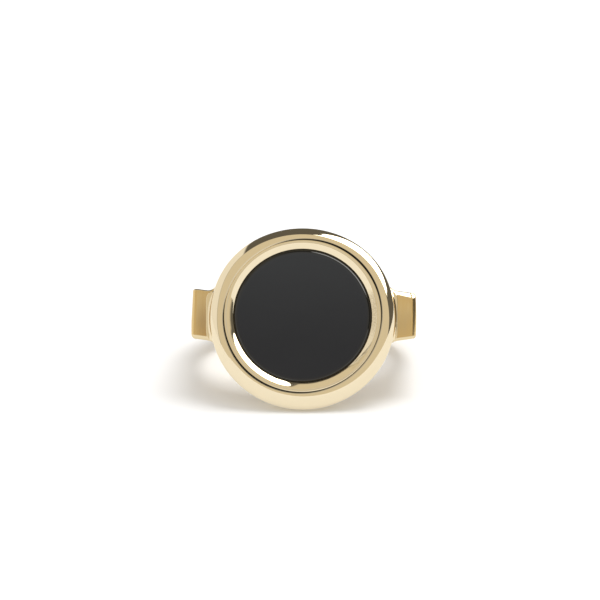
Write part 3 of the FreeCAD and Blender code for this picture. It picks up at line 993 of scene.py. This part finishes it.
def solder_bead(name, side):
    """Concave bead in the corner between a shoulder's front face and the collar's wall."""
    verts = []
    stations = 48
    steps = 10
    reach = SOLDER_REACH - SOLDER_REACH_SWING * side
    steepest = math.radians(SOLDER_STEEPEST)
    for station in range(stations + 1):
        share = -1.0 + 2.0 * station / stations
        y = SOLDER_HALF_LENGTH * share
        size = math.sqrt(max(0.0, 1.0 - abs(share) ** 6)) * 0.98 + 0.02
        size *= 1.0 + SOLDER_WAVE * noise.noise(Vector((station * 0.35, side * 3.0, 0.0)))
        foot_z = SHOULDER_Z - SOLDER_SINK
        loop = [(SOLDER_ROOT_R, foot_z), (SOLDER_ROOT_R, SHOULDER_Z + SOLDER_HEIGHT * size)]
        for step in range(steps + 1):
            turn = steepest * (1.0 - step / steps)
            out = 1.0 - math.sin(turn) / math.sin(steepest)
            up = (1.0 - math.cos(turn)) / (1.0 - math.cos(steepest))
            loop.append((SOLDER_START_R + reach * size * out, SHOULDER_Z + SOLDER_HEIGHT * size * up))
        loop.append((loop[-1][0], foot_z))
        angle = math.asin((y - HEAD_SHIFT) / (HEAD_R * HEAD_OVAL))
        behind = HEAD_R * (1.0 - math.cos(angle))
        for r, z in loop:
            inner = 1.0 - smooth_step(r, SOLDER_START_R, HEAD_R + reach)
            verts.append(Vector((side * (r - behind * inner), y, z)))
    count = len(loop)
    faces = band_faces(stations + 1, count, closed=False)
    faces.append(tuple(range(count)))
    faces.append(tuple(stations * count + index for index in range(count)))
    return make_mesh(name, verts, faces)


for node, side in (("shoulder_solder_left", -1), ("shoulder_solder_right", 1)):
    finish_piece(node, solder_bead(node, side), solder_gold)


# ---- Studio ----

FLOOR_R = 0.60              # metres
CAMERA_DISTANCE = 0.45
FRAME_WIDTH = 0.0548        # width of the camera's view at the head
SENSOR_WIDTH = 36.0
PANEL_DISTANCE = 0.50
PANEL_SIZE = 0.30
PANEL_POWER = 1.22
PANEL_DIRECTION = (0.21, 0.05, 0.95)
AIM_LEFT = 0.23             # the view's middle lies this far left of the head's centre
AIM_ABOVE = 1.46            # and this far above it, in millimetres along the finger


def floor():
    mesh = bpy.data.meshes.new("floor")
    bm = bmesh.new()
    bmesh.ops.create_circle(bm, cap_ends=True, segments=96, radius=FLOOR_R)
    bm.to_mesh(mesh)
    bm.free()
    mesh.materials.append(pale_floor())
    disc = bpy.data.objects.new("floor", mesh)
    bpy.context.scene.collection.objects.link(disc)


# Studio light by direction. Angles are in degrees: "off" is the angle away from the face axis,
# "clock" runs clockwise from the top of the head.

CARD_OFF = 45.6             # reach of the warm card round the camera
CARD_RIGHT = 11.4           # further at the right, between these clock angles
CARD_RIGHT_CLOCK = (12.0, 110.0)
CARD_LEFT = 17.0            # further at the upper left, rising between these clock angles
CARD_LEFT_CLOCK = (-92.0, -40.0)
CARD_TOP_LOSS = 5.0         # of which this much is gone again at the top
CARD_LEFT_END = (10.0, 14.0)    # and all of it between these
LENS_OFF = (3.0, 7.0)       # the light close to the camera ends between these
LENS_UPWARD = (-0.03, 0.06)     # and brightens between these shares of the way up
KEY_CLOCK = 40.0            # middle of the key softbox
KEY_HALF_CLOCK = 30.0       # half of its breadth, for the curves of its edges
KEY_NEAR = 57.0             # its edge nearest the camera
KEY_NEAR_TAPER = 2.5        # which moves out by this much at its ends
KEY_FAR = 110.0             # its far edge
KEY_FAR_TAPER = 30.0        # which moves in by this much at its ends
KEY_SPLIT = (60.0, 66.0)    # nearer than this it is as broad as the first pair of ends, then the second
KEY_STARTS = (7.0, 12.5)
KEY_ENDS = (77.5, 73.5)
LEFT_CARD_BOTTOM = (-135.0, -125.0)     # clock angles where the left card begins
LEFT_CARD_SLANT = 0.125     # its upper end turns clockwise by this much per degree off
LEFT_CARD_TOP = -48.75      # clock angle of its upper end, for no degrees off
BACK_OFF = (145.0, 165.0)   # light from behind the ring sets in between these

DARK = (0.140, 0.132, 0.118, 1.0)
FRONT = (0.82, 0.745, 0.60, 1.0)
LENS_LOW = (0.62, 0.61, 0.62, 1.0)
LENS_HIGH = (0.95, 0.97, 0.97, 1.0)
KEY = (6.0, 5.95, 5.8, 1.0)
LEFT_CARD = (1.05, 1.03, 1.0, 1.0)
BACK_FILL = (0.55, 0.54, 0.52, 1.0)
AMBIENT = (0.88, 0.88, 0.88, 1.0)
BACKDROP = (1.05, 1.05, 1.05, 1.0)


def studio():
    world = bpy.data.worlds.new("studio")
    world.use_nodes = True
    bpy.context.scene.world = world
    graph = Graph(world.node_tree)
    look = graph.add("ShaderNodeTexCoord").outputs["Generated"]
    upward = graph.dot(look, finger_axis)
    off = graph.math("DEGREES", graph.math("ARCCOSINE", graph.dot(look, face_axis)))
    clock = graph.math("DEGREES", graph.math("ARCTAN2", graph.dot(look, side_axis), upward))

    # Warm card round the camera, wider at the upper left and at the right
    more_left = graph.ramp(clock, *CARD_LEFT_CLOCK, 0.0, CARD_LEFT)
    top_loss = graph.ramp(clock, CARD_LEFT_CLOCK[1], 0.0, 0.0, CARD_TOP_LOSS)
    more_left = graph.math("SUBTRACT", more_left, top_loss)
    more_left = graph.math("MULTIPLY", more_left, graph.ramp(clock, *CARD_LEFT_END, 1.0, 0.0))
    at_right = graph.within(clock, *CARD_RIGHT_CLOCK, 2.0)
    edge = graph.math("MULTIPLY_ADD", at_right, CARD_RIGHT, CARD_OFF)
    edge = graph.math("ADD", more_left, edge)
    past_edge = graph.math("SUBTRACT", off, edge)
    front = graph.ramp(past_edge, -2.0, 2.0, 1.0, 0.0)

    # Neutral light close to the camera, brighter above it
    lens = graph.blend(graph.ramp(upward, *LENS_UPWARD), LENS_LOW, LENS_HIGH)
    card = graph.blend(graph.ramp(off, *LENS_OFF), lens, FRONT)

    # Key softbox at the upper right, narrower towards its ends
    from_middle = graph.math("DIVIDE", graph.math("SUBTRACT", clock, KEY_CLOCK), KEY_HALF_CLOCK)
    squared = graph.math("MULTIPLY", from_middle, from_middle)
    fourth = graph.math("MULTIPLY", squared, squared)
    key_far = graph.math("MULTIPLY_ADD", squared, -KEY_FAR_TAPER, KEY_FAR)
    key_near = graph.math("MULTIPLY_ADD", fourth, KEY_NEAR_TAPER, KEY_NEAR)
    key_depth = graph.math("MULTIPLY",
                           graph.ramp(graph.math("SUBTRACT", off, key_near), -1.0, 1.0),
                           graph.ramp(graph.math("SUBTRACT", off, key_far), -2.5, 2.5, 1.0, 0.0))
    key_start = graph.ramp(off, *KEY_SPLIT, *KEY_STARTS)
    key_end = graph.ramp(off, *KEY_SPLIT, *KEY_ENDS)
    key = graph.math("MULTIPLY", key_depth, graph.within(clock, key_start, key_end, 0.8))

    # White card at the left
    card_end = graph.math("MULTIPLY_ADD", off, LEFT_CARD_SLANT, LEFT_CARD_TOP)
    left_top = graph.ramp(graph.math("SUBTRACT", clock, card_end), -1.5, 1.5, 1.0, 0.0)
    left = graph.math("MULTIPLY", left_top, graph.ramp(clock, *LEFT_CARD_BOTTOM))
    left = graph.math("MULTIPLY", left, graph.ramp(past_edge, 0.0, 3.0))

    light = graph.blend(graph.ramp(off, *BACK_OFF), DARK, BACK_FILL)
    light = graph.blend(front, light, card)
    light = graph.blend(left, light, LEFT_CARD)
    light = graph.blend(key, light, KEY)
    # Mirrored light is the studio, scattered light is even, and the backdrop is white
    rays = graph.add("ShaderNodeLightPath")
    light = graph.blend(rays.outputs["Is Glossy Ray"], AMBIENT, light)
    light = graph.blend(rays.outputs["Is Camera Ray"], light, BACKDROP)
    background = graph.add("ShaderNodeBackground")
    graph.feed(background.inputs["Color"], light)
    output = graph.add("ShaderNodeOutputWorld")
    graph.feed(output.inputs["Surface"], background.outputs["Background"])


def ceiling_panel():
    """Soft panel overhead that whitens the floor. The gold doesn't mirror it."""
    data = bpy.data.lights.new("ceiling_panel", "AREA")
    data.shape = "DISK"
    data.size = PANEL_SIZE
    data.energy = PANEL_POWER
    panel = bpy.data.objects.new("ceiling_panel", data)
    bpy.context.scene.collection.objects.link(panel)
    away = Vector(PANEL_DIRECTION).normalized()
    facing = away.to_track_quat("Z", "Y").to_matrix().to_4x4()
    panel.matrix_world = Matrix.Translation(away * PANEL_DISTANCE) @ facing
    panel.visible_glossy = False


def camera():
    data = bpy.data.cameras.new("camera")
    data.sensor_width = SENSOR_WIDTH
    data.lens = SENSOR_WIDTH * CAMERA_DISTANCE / FRAME_WIDTH
    viewer = bpy.data.objects.new("camera", data)
    bpy.context.scene.collection.objects.link(viewer)
    aim = ring_to_world @ Vector((-AIM_LEFT, AIM_ABOVE, HEAD_TOP))
    viewer.matrix_world = Matrix.Translation(aim + face_axis * CAMERA_DISTANCE) @ ring_axes.to_4x4()
    bpy.context.scene.camera = viewer


floor()
studio()
ceiling_panel()
camera()
bpy.context.scene.view_settings.view_transform = "Standard"
